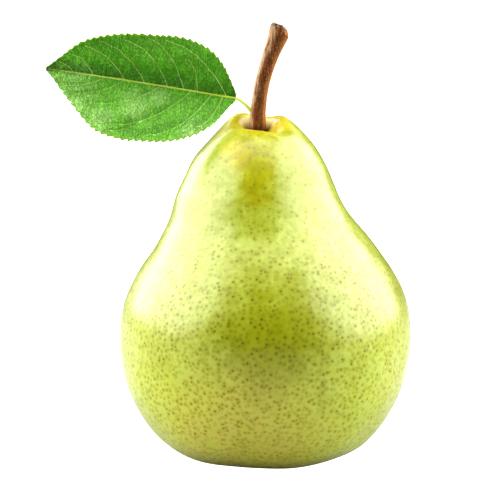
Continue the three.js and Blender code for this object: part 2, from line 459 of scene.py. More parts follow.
def ground_colour(graph, where, small):
    """Green, ripe and pale patches, and the duller back."""
    broad = mottle(graph, where, 15.0)
    tiny = mottle(graph, where, 1.3, 2.6)
    wavy = graph.map(small, 5.0, graph.product(broad, 8.0))
    from_green = graph.math("ADD", graph.distance_to(where, GREEN_PATCH), wavy)
    greener = graph.ease(from_green, 28.0, 10.0)
    ripe = graph.map(greener, -0.8, graph.map(broad, 0.35, 0.65))
    riper = graph.mix(graph.ease(graph.along("Z", where), 45.0, 18.0), SKIN_YELLOW, SKIN_RIPE)
    colour = graph.mix(graph.add("Clamp", {"Value": ripe}).outputs[0], SKIN_GREEN, riper)
    paler = graph.map(small, 0.5, graph.product(tiny, 0.3))
    colour = graph.mix(graph.product(paler, graph.map(greener, -0.85, 1.0)), colour, SKIN_PALE)
    behind = graph.ease(graph.along("Y", where), -16.0, 10.0, 0.0, 0.55)
    return graph.mix(behind, colour, SKIN_SHADED)


def warm_colour(graph, where, small, colour):
    """The blush, the gold around the stem and the patch on the neck; also gives the gold's mask."""
    blush = graph.ease(graph.distance_to(where, BLUSH), 30.0, 10.0, 0.0, 0.6)
    colour = graph.mix(graph.product(blush, graph.map(small, 0.5, 0.5)), colour, SKIN_TAN)
    from_stem = graph.distance_to(where, STEM_FOOT, STEM_FOOT_SHRINK)
    gold = graph.product(graph.ease(from_stem, 13.0, 5.5, 0.0, 0.9), graph.map(small, 0.6, 0.4))
    gold = graph.product(gold, graph.ease(graph.along("Z", where), 72.0, 80.0))
    smudge = graph.ease(graph.distance_to(where, GOLD_SMUDGE), 7.0, 1.0, 0.0, 0.9)
    gold = graph.math("MAXIMUM", gold, graph.product(smudge, small))
    colour = graph.mix(gold, colour, SKIN_GOLD)
    from_neck = graph.map(small, 3.0, graph.distance_to(where, NECK_PATCH, NECK_PATCH_SHRINK))
    colour = graph.mix(graph.ease(from_neck, 9.0, 4.5), colour, NECK_TINT, blend="MULTIPLY")
    return colour, gold


print("the green patch lies around", GREEN_PATCH, "and the gold around", STEM_FOOT)

# %% [markdown]
# ## Pores, flecks and cork
# Pears have thousands of pores, the lenticels: each is a corky brown dot with a greener halo, dense on
# the belly and sparse on the neck. Both are tints that multiply the skin, so a pore in gold is
# brown-gold and a pore in green is olive. Russet, a rough brown cork, comes as flecks on the lower
# front, as a net in the blossom end and as a ring around the stem, whose brown is also painted shade
# in the basin.

# %% Pores, flecks and cork
PORE_TINT = (0.520, 0.260, 0.000)
PORE_TINT_LOW = (0.620, 0.370, 0.000)
HALO_TINT = (0.740, 0.690, 0.000)
RUSSET = (0.340, 0.180, 0.002)
# the brown of the ring around the stem: cork, and painted shade in the basin
BASIN_CORK_AND_SHADE = (0.300, 0.140, 0.008)
# spacing, and radius and softness of dot and halo, in millimetres
PORE_SPACING = 1.15
DOT = (0.27, 0.10)
HALO = (0.82, 0.50)
FLECK_PATCH = (-8.0, -34.0, 20.0)
CALYX_BASIN = (0.0, 0.0, 5.0)


def add_pores(graph, where, colour):
    """Dots with halos; also gives the dots' mask."""
    height = graph.along("Z", where)
    dots, chance = speckles(graph, where, PORE_SPACING, *DOT)
    halos, _ = speckles(graph, where, PORE_SPACING, *HALO)
    crowd = graph.ease(height, 78.0, 44.0, 0.5, 1.0)
    present = graph.product(graph.math("LESS_THAN", chance, crowd), graph.map(chance, 0.45, 0.55))
    from_below = graph.ease(height, 4.0, 20.0, 0.7, 0.92)
    browned = graph.product(from_below, graph.ease(height, 72.0, 44.0, 0.6, 1.0))
    pore = graph.product(dots, present)
    colour = graph.mix(graph.product(halos, present, browned), colour, HALO_TINT, blend="MULTIPLY")
    tint = graph.mix(graph.ease(height, 40.0, 22.0), PORE_TINT, PORE_TINT_LOW)
    return graph.mix(graph.product(pore, browned), colour, tint, blend="MULTIPLY"), pore


def add_flecks(graph, where, colour):
    """Ragged russet flecks; also gives their mask."""
    flecks, chance = speckles(graph, graph.shake(where, 1.6), 2.6, 0.5, 0.30)
    likely = graph.ease(graph.distance_to(where, FLECK_PATCH), 26.0, 6.0, 0.08, 0.85)
    fleck = graph.product(flecks, graph.math("LESS_THAN", chance, likely))
    return graph.mix(graph.product(fleck, 0.5), colour, RUSSET), fleck


def add_cork(graph, where, colour):
    """The net in the blossom end, and a brown ring around the stem that is cork and painted shade in the
    basin; also gives their masks.
    """
    veins = graph.ease(graph.noise(where, 1.6, detail=5.0, rough=0.65), 0.4, 0.62)
    net = graph.product(graph.ease(graph.distance_to(where, CALYX_BASIN), 11.0, 3.0), veins)
    # the ring around the stem's foot: brown cork, deepened as painted shade in the basin
    stem_ring_cork_and_shade = graph.ease(graph.distance_to(where, STEM_FOOT, STEM_FOOT_SHRINK), 4.4, 2.4)
    stem_ring_cork_and_shade = graph.product(stem_ring_cork_and_shade, graph.ease(graph.along("Z", where), 78.0, 81.0))
    colour = graph.mix(graph.product(net, 0.75), colour, RUSSET)
    colour = graph.mix(graph.product(stem_ring_cork_and_shade, 0.8), colour, BASIN_CORK_AND_SHADE)
    return colour, net, graph.math("MAXIMUM", stem_ring_cork_and_shade, net)


print("pores stand about", PORE_SPACING, "mm apart")

# %% [markdown]
# ## The whole skin
# The shine is a natural wax: a thin clear coat over a softer skin, with a little light that enters and
# spreads in the flesh. Pores, flecks and cork break the wax, so they are rougher and have less coat.
# The relief has three sizes: slow waves, the grain of the peel, and the pores' small bumps.

# %% Skin material and fruit
def make_skin():
    material, graph, shader = new_material("pear_skin")
    where = graph.millimetres()
    small = mottle(graph, where, 4.2, 3.2, 0.54)
    colour = ground_colour(graph, where, small)
    colour, gold = warm_colour(graph, where, small, colour)
    colour, pore = add_pores(graph, where, colour)
    colour, fleck = add_flecks(graph, where, colour)
    colour, net, cork_and_stem_shade = add_cork(graph, where, colour)
    spots = graph.math("MAXIMUM", pore, fleck)
    rough = graph.map(spots, 0.25, graph.map(graph.noise(where, 0.55, detail=3.0), 0.10, 0.33))
    coat = graph.map(spots, -0.4, graph.map(gold, -0.6, 0.95))
    waves = graph.bump(graph.noise(where, 4.2, detail=2.5), 0.32)
    peel = graph.bump(graph.noise(where, 0.45, detail=3.0), 0.012, normal=waves)
    graph.feed_all(shader, {
        "Base Color": colour,
        "Roughness": graph.map(cork_and_stem_shade, 0.3, rough),
        "Coat Weight": graph.map(cork_and_stem_shade, -0.9, coat),
        "Coat Roughness": 0.30,
        "Coat IOR": 1.58,
        "IOR": 1.45,
        "Specular IOR Level": 0.35,
        "Subsurface Weight": 0.15,
        "Subsurface Radius": (1.0, 0.7, 0.15),
        "Subsurface Scale": 1.0 * MM,
        "Normal": graph.bump(graph.map(net, 0.6, spots), 0.02, normal=peel),
    })
    return material


fruit = make_piece("pear_fruit", fruit_mesh, [make_skin()])
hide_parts("fruit")

# %% [markdown]
# ## The stem's form
# A pear's stem is a woody rod of 4 mm that thickens towards the knob where it broke from its spur. It
# is turned like the fruit, from a line of radius against length, and then bent along the line that its
# middle follows. Bending keeps the rings square to the line, so the rod keeps its thickness in a curve.
# Before it is bent, noise that is stretched along the rod raises long ridges, as dried wood has. Which
# way each point faces is kept on the mesh, so the bark can take a painted sheen on the stem's left side
# and painted golden light on its right side.

# %% Turn and bend the stem
STEM_LINE = [
    (-2.2, 0, 79.8), (-2.2, 0, 84.6), (-1.9, 0, 91.0), (-0.7, 0, 97.5),
    (1.2, 0, 103.6), (2.9, 0, 108.0), (3.8, 0, 111.5),
]
STEM_OUTLINE = [
    (0.00, 1.3), (0.05, 1.9), (0.14, 2.1), (0.30, 1.92), (0.50, 1.82), (0.68, 1.95), (0.82, 2.28),
    (0.92, 2.68), (0.965, 2.62), (0.99, 2.05), (0.985, 1.3), (0.965, 0.7), (0.96, 0.0),
]
STEM_FACES_ROUND = 56
# what happens where, as parts of the stem's length
KNOB = (0.84, 0.97)
TORN_END = (0.93, 0.96)
SLANTED_END = (0.90, 0.97)
KNOB_SLANT = 0.75
RIDGE_HEIGHT = 0.13
CORD_HEIGHT = 0.07
GNARL_HEIGHT = 0.16
BEND_STEP = 0.25


def line_length(line):
    run = smooth_line(line, BEND_STEP)
    return sum((b - a).length for a, b in zip(run, run[1:]))


def bend(bm, line):
    """Bends an upright mesh along a line: its height becomes the way along the line."""
    run = smooth_line(line, BEND_STEP)
    steps = len(run) - 1
    length = line_length(line)
    for vert in bm.verts:
        along = min(max(vert.co.z / length, 0), 1) * steps
        at = min(int(along), steps - 1)
        centre = run[at].lerp(run[at + 1], along - at)
        ahead = (run[at + 1] - run[at]).normalized()
        if 0 < at < steps - 1:
            before = (run[at] - run[at - 1]).normalized()
            after = (run[at + 2] - run[at + 1]).normalized()
            ahead = before.lerp(ahead, 0.5).lerp(ahead.lerp(after, 0.5), along - at).normalized()
        side = Vector((0, 1, 0)).cross(ahead).normalized()
        front = ahead.cross(side)
        vert.co = centre + side * vert.co.x + front * vert.co.y
    return bm


def shape_stem():
    length = line_length(STEM_LINE)
    outline = [(radius, part * length) for part, radius in STEM_OUTLINE]
    bm = turn([(0, 0.0), *[tuple(p) for p in smooth_line(outline, 0.28)]], STEM_FACES_ROUND)
    bm.normal_update()
    side = bm.verts.layers.float.new("stem_side")
    for vert in bm.verts:
        part = vert.co.z / length
        vert[side] = vert.normal.x
        azimuth = math.atan2(vert.co.y, vert.co.x)
        ridge = noise.noise(Vector((math.cos(azimuth) * 2.2, math.sin(azimuth) * 2.2, part * 1.8)))
        cord = noise.noise(Vector((math.cos(azimuth) * 6, math.sin(azimuth) * 6, part * 4.5)))
        gnarl = noise.noise(vert.co / 1.1) * ease(*KNOB, part)
        relief = RIDGE_HEIGHT * ridge + CORD_HEIGHT * cord + GNARL_HEIGHT * gnarl
        on_side = ease(0.3, 1.2, math.hypot(vert.co.x, vert.co.y))
        vert.co += vert.normal * relief * on_side
        torn = ease(*TORN_END, part) * (1 - 0.4 * on_side)
        vert.co.z += torn * 0.3 * noise.noise(vert.co / 0.6)
        vert.co.z -= ease(*SLANTED_END, part) * max(vert.co.x - 0.3, 0) * KNOB_SLANT
    return bend(bm, STEM_LINE)


stem_mesh = shape_stem()
print("the stem is", round(line_length(STEM_LINE), 1), "mm long")

# %% [markdown]
# ## Bark
# The stem is brown wood under thin bark: dark in its furrows, with tan fibres and pale scratches. Its
# left side carries a painted pale sheen, its right side painted golden light, its foot painted shade
# where it sinks into the basin, and the torn knob is nearly black between grey crumbs. Fibres are noise
# stretched along the stem, as wood grows.

# %% Bark material
BARK_DARK = (0.034, 0.006, 0.000)
BARK_BROWN = (0.160, 0.036, 0.000)
BARK_TAN = (0.500, 0.230, 0.050)
BARK_PAINTED_SHEEN = (0.560, 0.380, 0.220)
BARK_PAINTED_LIGHT = (0.440, 0.180, 0.022)
BARK_SCRATCH = (0.800, 0.620, 0.420)
SCAR_GREY = (0.300, 0.210, 0.130)
# heights in millimetres, from none to all of it
TORN_HEIGHTS = (110.2, 111.4)
FOOT_HEIGHTS = (87.0, 84.0)


def make_bark():
    material, graph, shader = new_material("stem_bark")
    where = graph.millimetres()
    height = graph.along("Z", where)
    strands = fibres(graph, where, 0.55, 7.0)
    threads = fibres(graph, where, 0.30, 4.0)
    colour = graph.mix(strands, BARK_DARK, BARK_BROWN)
    colour = graph.mix(graph.product(threads, 0.26), colour, BARK_TAN)
    patches = mottle(graph, where, 3.0, 2.4, 0.52)
    colour = graph.mix(graph.product(patches, 0.12), colour, BARK_TAN)
    # painted light by side: a pale sheen is painted on the left side and golden light on the right side
    side = graph.stored("stem_side")
    uneven = graph.map(strands, 0.7, graph.map(threads, 0.4, -0.55))
    left_sheen = graph.ease(graph.math("ADD", side, uneven), -0.35, -0.9, 0.0, 0.75)
    colour = graph.mix(left_sheen, colour, BARK_PAINTED_SHEEN)
    right_light = graph.ease(graph.math("SUBTRACT", side, uneven), 0.35, 0.9, 0.0, 0.65)
    colour = graph.mix(right_light, colour, BARK_PAINTED_LIGHT)
    scratches = graph.noise(graph.stretch(where, (4.0, 4.0, 3.0)), 1.0, detail=3.0)
    colour = graph.mix(graph.ease(scratches, 0.62, 0.67, 0.0, 0.5), colour, BARK_SCRATCH)
    crumbs = graph.ease(graph.noise(where, 0.5, detail=4.0), 0.42, 0.6)
    knob = graph.mix(crumbs, BARK_DARK, SCAR_GREY)
    colour = graph.mix(graph.ease(height, *TORN_HEIGHTS), colour, knob)
    ridges = graph.bump(graph.map(threads, 0.5, strands), 0.09)
    # the base colour darkens towards the stem's foot: painted shade where it sinks into the basin
    graph.feed_all(shader, {
        "Base Color": graph.mix(graph.ease(height, *FOOT_HEIGHTS, 0.0, 0.7), colour, BARK_DARK),
        "Roughness": graph.map(threads, 0.2, 0.45),
        "Specular IOR Level": 0.35,
        "Normal": graph.bump(graph.noise(where, 0.22, detail=4.0), 0.03, normal=ridges),
    })
    return material


stem = make_piece("pear_stem", stem_mesh, [make_bark()])
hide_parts("stem")

# %% [markdown]
# ## The leaf's blade
# The blade is a thin sheet, so it starts as a flat grid and gets its thickness last. One direction of
# the grid follows the midrib and the other crosses it, and each point is carried to its place on the
# folded, arched blade. The outline is given as half-widths at even steps of a length that is warped to
# start with short steps, since the base is blunt. Its edge is cut into small teeth that point to the
# tip, which only a grid with several points per tooth can show.

# %% Blade outline
LEAF_BASE = Vector((-7.7, -0.6, 92.6))
LEAF_TIP = Vector((-55.3, -4.5, 100.4))
LEAF_FOLD = math.radians(20)
LEAF_ARCH = 2.6
UPPER_HALF = [0.3, 3.6, 7.8, 11.1, 12.9, 13.4, 12.9, 12.3, 10.9, 7.7, 0.3]
LOWER_HALF = [0.3, 2.6, 6.8, 10.0, 12.2, 13.7, 14.4, 14.6, 13.0, 7.4, 0.3]
LEAST_HALF = 0.3
LENGTH_WARP = 1.5
TEETH = 34
TOOTH_DEPTH = 0.62
TOOTH_RISE = 0.78
TOOTH_WOBBLE = 0.35

MIDRIB = LEAF_TIP - LEAF_BASE
LEAF_LENGTH = MIDRIB.length
ALONG = MIDRIB.normalized()
TO_FRONT = (Vector((0, -1, 0)) + ALONG * ALONG.y).normalized()
UPWARDS = ALONG.cross(TO_FRONT).normalized()


def half_width(halves, part):
    """The half-width of the blade at a part of its length, between the given steps."""
    step = part ** (1 / LENGTH_WARP) * (len(halves) - 1)
    at = min(int(step), len(halves) - 2)
    run = [2 * halves[0] - halves[1], *halves, 2 * halves[-1] - halves[-2]]
    a, b, c, d = run[at:at + 4]
    rest = step - at
    value = b + (c - b) * ease(0, 1, rest)
    value += (c - a) / 2 * (rest ** 3 - 2 * rest ** 2 + rest) + (d - b) / 2 * (rest ** 3 - rest ** 2)
    return max(value, LEAST_HALF)


def edge_run(halves, count=400):
    """How far along the edge each of many even steps of the warped length is, from 0 to 1."""
    run = [0.0]
    last = Vector((0, half_width(halves, 0)))
    for i in range(1, count + 1):
        part = (i / count) ** LENGTH_WARP
        here = Vector((part * LEAF_LENGTH, half_width(halves, part)))
        run.append(run[-1] + (here - last).length)
        last = here
    return [value / run[-1] for value in run]


EDGES = {1: edge_run(UPPER_HALF), -1: edge_run(LOWER_HALF)}


def tooth_cut(part, side):
    """How deep the edge is cut in at a part of the length: each tooth rises slowly to the tip."""
    run = EDGES[side]
    step = part ** (1 / LENGTH_WARP) * (len(run) - 1)
    at = min(int(step), len(run) - 2)
    along_edge = run[at] + (run[at + 1] - run[at]) * (step - at)
    wobble = TOOTH_WOBBLE * noise.noise(Vector((along_edge * 9, side * 5, 0)))
    beat = (along_edge * TEETH + wobble) % 1
    rise = min(beat / TOOTH_RISE, (1 - beat) / (1 - TOOTH_RISE))
    return TOOTH_DEPTH * (1 - rise) * ease(0.0, 0.06, part)


print("the blade is", round(LEAF_LENGTH, 1), "mm long and carries", TEETH, "teeth a side")

# %% [markdown]
# ## Veins
# The side veins leave the midrib at a wide angle, swing towards the tip and run out near the edge.
# Each is a Bezier curve with its bend in the same place, so three numbers describe it: where it starts,
# and where it ends along and across the blade. The last of the lower veins is a branch that starts away
# from the midrib. All the veins are sampled into one search tree, which tells every point of the sheet
# how far its nearest vein is. That distance is kept on the mesh, so the material can draw the veins.

# %% Vein map
UPPER_VEINS = [
    (2.4, 20.0, 11.8), (9.6, 14.0, 7.9), (13.3, 24.5, 11.5), (17.4, 30.4, 10.3),
    (23.3, 36.4, 9.0), (28.5, 40.2, 7.2), (36.4, 43.0, 4.6), (41.6, 45.6, 2.2),
]
LOWER_VEINS = [
    (3.2, 9.0, 8.6), (6.1, 21.5, 12.6), (11.3, 31.5, 11.5), (19.0, 37.0, 7.0),
    (28.4, 41.5, 5.2), (33.3, 43.5, 3.4), (22.5, 31.0, 12.9),
]
BRANCH_START = 9.2
# the bend's place on the way out: along and across
VEIN_BEND = (0.42, 0.92)
VEIN_SAMPLE = 0.12
VEIN_WAVE = 0.22
VEIN_WAVE_LENGTH = 2.5
VEIN_TAPER = 0.6


def vein_points():
    """Samples of every side vein, as (along, across) in millimetres, with how thick it is."""
    samples = []
    for side, veins in ((1, UPPER_VEINS), (-1, LOWER_VEINS)):
        for order, (start, end, reach) in enumerate(veins):
            root = BRANCH_START if side < 0 and order == len(veins) - 1 else 0.0
            first = Vector((start, side * root, 0))
            last = Vector((end, side * reach, 0))
            bend_along = start + VEIN_BEND[0] * (end - start)
            bend_across = side * (root + VEIN_BEND[1] * (reach - root))
            bend_at = Vector((bend_along, bend_across, 0))
            early = first.lerp(bend_at, 2 / 3)
            late = last.lerp(bend_at, 2 / 3)
            count = int((last - first).length / VEIN_SAMPLE)
            for i, place in enumerate(geometry.interpolate_bezier(first, early, late, last, count)):
                x, y = place.x / VEIN_WAVE_LENGTH, place.y / VEIN_WAVE_LENGTH
                wave = VEIN_WAVE * noise.noise(Vector((x, y, order + side * 20)))
                samples.append((place.x + wave, place.y - wave, 1 - VEIN_TAPER * i / count))
    return samples


SAMPLES = vein_points()
vein_tree = kdtree.KDTree(len(SAMPLES))
for index, (along, across, _) in enumerate(SAMPLES):
    vein_tree.insert((along, across, 0), index)
vein_tree.balance()


def vein_near(along, across):
    """Distance to the nearest side vein, and how thick that vein is there."""
    _, index, apart = vein_tree.find((along, across, 0))
    return apart, SAMPLES[index][2]


print(len(SAMPLES), "vein samples")

# %% [markdown]
# ## Carrying the grid onto the leaf
# Each point of the grid is turned into a place along and across the blade. The blade is folded along
# its midrib like an open book, arched along its length, and puckered: it sinks a little at every vein,
# swells between them, and its edge ripples. The places along and across are kept on the mesh too, in
# millimetres, because the material draws the finest veins in the blade's own directions. At the end
# the faces are reversed, since the grid's first side came out facing back.

# %% Shape the blade
LEAF_STEPS_ALONG = 260
LEAF_STEPS_ACROSS = 150
LEAF_THICKNESS = 0.26
# depths and widths of the relief, in millimetres
VEIN_SINK = 0.16
VEIN_SINK_WIDTH = 0.45
SWELL = 0.62
SWELL_WIDTH = 1.9
MIDRIB_SINK = 0.25
MIDRIB_SINK_WIDTH = 0.7
EDGE_RIPPLE = 0.55
CRUMPLE = 0.35
BILLOW = 1.5


def blade_point(along_part, width_part):
    """The place of a point on the blade, and its flat place along and across, in millimetres."""
    side = 1 if width_part >= 0 else -1
    halves = UPPER_HALF if side > 0 else LOWER_HALF
    out = abs(width_part)
    cut = tooth_cut(along_part, side) * ease(0.86, 1.0, out)
    across = half_width(halves, along_part) * out - cut
    along = along_part * LEAF_LENGTH
    apart, thickness = vein_near(along, side * across)
    free = min(out * 3, 1) * ease(0.0, 0.08, along_part) * (1 - ease(0.94, 1.0, along_part))
    sunk = -VEIN_SINK * thickness * bell(apart, VEIN_SINK_WIDTH)
    swell = SWELL * (1 - bell(apart, SWELL_WIDTH))
    midrib_dip = -MIDRIB_SINK * bell(across, MIDRIB_SINK_WIDTH)
    ripple = EDGE_RIPPLE * noise.noise(Vector((along / 6.5, side * 3.1, 0))) * out ** 2
    crumple = CRUMPLE * noise.noise(Vector((along / 4.0, side * across / 4.0, 7.7)))
    crumple += BILLOW * noise.noise(Vector((along / 12.0, side * across / 9.0, 3.3)))
    folded = across * math.tan(LEAF_FOLD)
    arched = LEAF_ARCH * math.sin(math.pi * along_part)
    forward = folded - arched + (sunk + swell + crumple + ripple) * free + midrib_dip
    place = LEAF_BASE + MIDRIB * along_part + UPWARDS * side * across + TO_FRONT * forward
    return place, (along, side * across), apart, thickness


def shape_blade():
    bm = bmesh.new()
    bmesh.ops.create_grid(bm, x_segments=LEAF_STEPS_ALONG, y_segments=LEAF_STEPS_ACROSS, size=0.5)
    flat = bm.verts.layers.float_vector.new("flat_place")
    near = bm.verts.layers.float.new("vein_distance")
    thick = bm.verts.layers.float.new("vein_thickness")
    edge = bm.verts.layers.float.new("edge_part")
    for vert in bm.verts:
        along_part = min(max(vert.co.x + 0.5, 0), 1) ** LENGTH_WARP
        width_part = 2 * vert.co.y
        place, on_flat, apart, thickness = blade_point(along_part, width_part)
        vert.co = place
        vert[flat] = (*on_flat, 0)
        vert[near] = apart
        vert[thick] = thickness
        vert[edge] = abs(width_part)
    bmesh.ops.reverse_faces(bm, faces=bm.faces)
    return bm


blade_mesh = shape_blade()
print("the blade's grid has", len(blade_mesh.faces), "faces")

# %% [markdown]
# ## Leaf colours
# The upper face is a waxy mid green with cream veins. Painted shade darkens it above the midrib, where
# the fold shades it, and a painted sheen makes it pale where the lower half turns to the light, in spots
# that are duller beside the veins. Narrow cells and broader ribs lie across the blade between the veins,
# so they are drawn in the flat directions that were kept on the mesh. The back has duller greens of its
# own under the same painted sheen. Subsurface scattering lets a little light spread inside.

# %% Leaf materials
LEAF_SHADE = (0.010, 0.080, 0.002)
LEAF_DEEP = (0.150, 0.530, 0.026)
LEAF_FRESH = (0.270, 0.700, 0.046)
# painted sheen: the pale green where the lower half turns to the light
PAINTED_SHEEN_GREEN = (0.600, 0.900, 0.330)
LEAF_EDGE = (0.340, 0.560, 0.015)
VEIN_CREAM = (0.800, 0.900, 0.380)
UNDER_GREEN = (0.190, 0.330, 0.100)
UNDER_FRESH = (0.270, 0.430, 0.140)
# painted sheen, pale where the lower half turns to the light: spots along and across the blade, in
# millimetres, with a reach
PAINTED_SHEEN_SPOTS = [
    ((9.5, -9.8, 0), 6.5), ((41.0, -5.7, 0), 11.0), ((33.0, -10.4, 0), 6.0),
    ((19.5, -2.7, 0), 4.5), ((25.0, -5.8, 0), 6.5),
]
CELL_STRETCH = (2.3, 1.0, 1.0)
RIB_STRETCH = (1.8, 0.45, 1.0)


def leaf_ground(graph, where, flat, apart, specks, greens):
    """Greens in patches, with a painted sheen that makes the lower half and the spots pale, duller
    beside the veins.
    """
    # painted sheen: paler on the lower half and in the spots, and less of it beside the veins
    light = graph.ease(graph.along("Y", flat), 0.5, -3.0, 0.0, 0.18)
    for spot, reach in PAINTED_SHEEN_SPOTS:
        sheen = graph.ease(graph.distance_to(flat, spot), reach, reach * 0.2, 0.0, 0.66)
        light = graph.math("MAXIMUM", light, sheen)
    light = graph.product(light, graph.ease(apart, 0.2, 1.5, 0.5, 1.0))
    colour = graph.mix(light, graph.mix(mottle(graph, where, 6.0, 2.0), *greens), PAINTED_SHEEN_GREEN)
    return graph.mix(graph.product(specks, 0.18), colour, greens[1])


def make_leaf_material(name, greens, wax, relief):
    material, graph, shader = new_material(name)
    flat = graph.stored("flat_place", "Vector")
    apart = graph.stored("vein_distance")
    across = graph.along("Y", flat)
    where = graph.millimetres()
    specks = mottle(graph, where, 0.7, 2.2)
    colour = leaf_ground(graph, where, flat, apart, specks, greens)

    warped = graph.shake(flat, 0.6)
    ribs = graph.ease(graph.noise(graph.stretch(warped, RIB_STRETCH), 1.0, detail=1.0), 0.42, 0.58)
    cells = {"Vector": graph.stretch(warped, CELL_STRETCH), "Scale": 1.0}
    net = graph.add("TexVoronoi", cells, feature="DISTANCE_TO_EDGE").outputs["Distance"]
    net = graph.ease(net, 0.20, 0.02)
    # painted shade: the upper half is darkened next to the midrib, where the fold shades it
    fold_shade = graph.product(graph.ease(across, 5.0, 0.5, 0.0, 0.30), graph.ease(across, -0.2, 0.2))
    fine = graph.map(ribs, 0.14, graph.map(net, 0.34, fold_shade))
    colour = graph.mix(fine, colour, LEAF_SHADE)
    edge = graph.ease(graph.stored("edge_part"), 0.93, 1.0)
    colour = graph.mix(graph.product(edge, 0.6), colour, LEAF_EDGE)
    half_vein = graph.map(graph.stored("vein_thickness"), 0.07, 0.10)
    near_vein = graph.ease(apart, half_vein, 0.03, 0.0, 0.9)
    near_midrib = graph.ease(graph.math("ABSOLUTE", across), 0.32, 0.12, 0.0, 0.6)
    quilt = graph.bump(graph.map(net, -0.4, graph.product(ribs, -1.0)), relief)
    graph.feed_all(shader, {
        "Base Color": graph.mix(graph.math("MAXIMUM", near_vein, near_midrib), colour, VEIN_CREAM),
        "Roughness": graph.map(specks, 0.15, wax),
        "Subsurface Weight": 0.15,
        "Subsurface Radius": (0.4, 1.0, 0.2),
        "Subsurface Scale": 0.5 * MM,
        "Normal": graph.bump(graph.noise(where, 0.18, detail=2.0), 0.012, normal=quilt),
    })
    return material


LEAF_TOP = make_leaf_material("leaf_top", (LEAF_DEEP, LEAF_FRESH), 0.36, 0.42)
LEAF_BACK = make_leaf_material("leaf_back", (UNDER_GREEN, UNDER_FRESH), 0.60, 0.20)
blade = make_piece("leaf_blade", blade_mesh, [LEAF_TOP, LEAF_BACK])
thicken = blade.modifiers.new("thickness", "SOLIDIFY")
thicken.thickness = LEAF_THICKNESS * MM
thicken.offset = -1
thicken.material_offset = 1
thicken.material_offset_rim = 0
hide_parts("leaf")

# %% [markdown]
# ## Midrib and stalk
# The leaf's stalk runs on through the blade as its midrib. Both are one tapering rod, turned and bent as
# the stem was: thickest where it joins the stem, thinner at the blade, and finest at the tip. It lies
# half sunk in the sheet, so it stands out on both faces.

# %% Shape the stalk
STALK_START = [(-4.0, -0.1, 89.4), (-4.6, -0.15, 90.2), (-5.5, -0.3, 91.2), (-6.7, -0.5, 92.1)]
STALK_ON_BLADE = (0.0, 0.06, 0.2, 0.4, 0.6, 0.8, 0.97)
STALK_OUTLINE = [
    (0.00, 0.0), (0.00, 0.55), (0.02, 0.44), (0.06, 0.36), (0.12, 0.34), (0.20, 0.26), (0.40, 0.20),
    (0.70, 0.13), (0.90, 0.08), (0.985, 0.05), (1.00, 0.0),
]
STALK_FACES_ROUND = 16


def shape_stalk():
    line = [*STALK_START, *(blade_point(part, 0.0)[0] for part in STALK_ON_BLADE)]
    length = line_length(line)
    outline = [(radius, part * length) for part, radius in STALK_OUTLINE]
    smooth = [tuple(p) for p in smooth_line(outline[1:-1], 0.25)]
    return bend(turn([outline[0], *smooth, outline[-1]], STALK_FACES_ROUND), line), length


stalk_mesh, stalk_length = shape_stalk()
print("stalk and midrib are", round(stalk_length, 1), "mm long")

# %% [markdown]
# ## The stalk's colour
# The stalk is yellow-green where it is young and cream where its fibres show. Its coordinates are
# squeezed along the leaf before they reach the fibres, so the streaks run with the stalk.

# %% Stalk material
STALK_GREEN = (0.640, 0.760, 0.060)
STALK_CREAM = (0.860, 0.860, 0.260)


def make_stalk_material():
    material, graph, shader = new_material("leaf_stalk")
    where = graph.millimetres()
    streaks = fibres(graph, graph.stretch(where, (0.12, 1.0, 1.0)), 0.16, 0.2)
    colour = graph.mix(mottle(graph, where, 3.0, 2.0), STALK_GREEN, STALK_CREAM)
    graph.feed_all(shader, {
        "Base Color": graph.mix(graph.product(streaks, 0.3), colour, LEAF_FRESH),
        "Roughness": graph.map(streaks, 0.15, 0.38),
        "Subsurface Weight": 0.2,
        "Subsurface Scale": 0.4 * MM,
        "Normal": graph.bump(streaks, 0.03),
    })
    return material


make_piece("leaf_stalk", stalk_mesh, [make_stalk_material()])

# %% [markdown]
# ## The dried flower
# In the blossom end sits what is left of the flower: five sepals, dried brown and curled, joined in a
# short tube, with a tuft of dried stamens inside. A sepal is a small strip that is bent back along a
# curve, tapers to its point and is cupped across. All five come from one function, each turned about
# the axis and twisted a little differently.

# %% Shape the calyx
SEPALS = 5
SEPAL_AZIMUTH = 20
SEPAL_LINE = [(1.2, 5.4), (1.9, 4.3), (2.6, 3.3), (3.5, 2.6), (4.15, 2.35)]
SEPAL_HALF = [(0.0, 1.15), (0.25, 1.25), (0.5, 1.05), (0.75, 0.62), (1.0, 0.08)]
SEPAL_THICKNESS = 0.22
SEPAL_CUP = 0.35
STAMENS = 14
STAMEN_LENGTH = 2.2
# the turn between neighbours in a seed head, in radians
GOLDEN_TURN = 2.399963


def sepal_strip(bm, azimuth, twist):
    """Adds one sepal: a strip of faces along its line, cupped and twisted."""
    line = smooth_line(SEPAL_LINE, 0.28)
    widths = smooth_line(SEPAL_HALF, 0.01)
    grid = bmesh.ops.create_grid(bm, x_segments=len(line) - 1, y_segments=6, size=0.5)["verts"]
    turned = Matrix.Rotation(math.radians(azimuth), 3, "Z")
    for vert in grid:
        part = min(max(vert.co.x + 0.5, 0), 1)
        side = 2 * vert.co.y
        spot = line[min(round(part * (len(line) - 1)), len(line) - 1)]
        half = min(widths, key=lambda pair: abs(pair[0] - part))[1]
        cup = SEPAL_CUP * side * side * half
        curl = twist * side * part * 0.5
        dry = 0.14 * noise.noise(Vector((part * 4, side * 2, azimuth)))
        vert.co = turned @ Vector((spot[0] - cup * 0.5, side * half, spot[1] - cup + curl + dry))


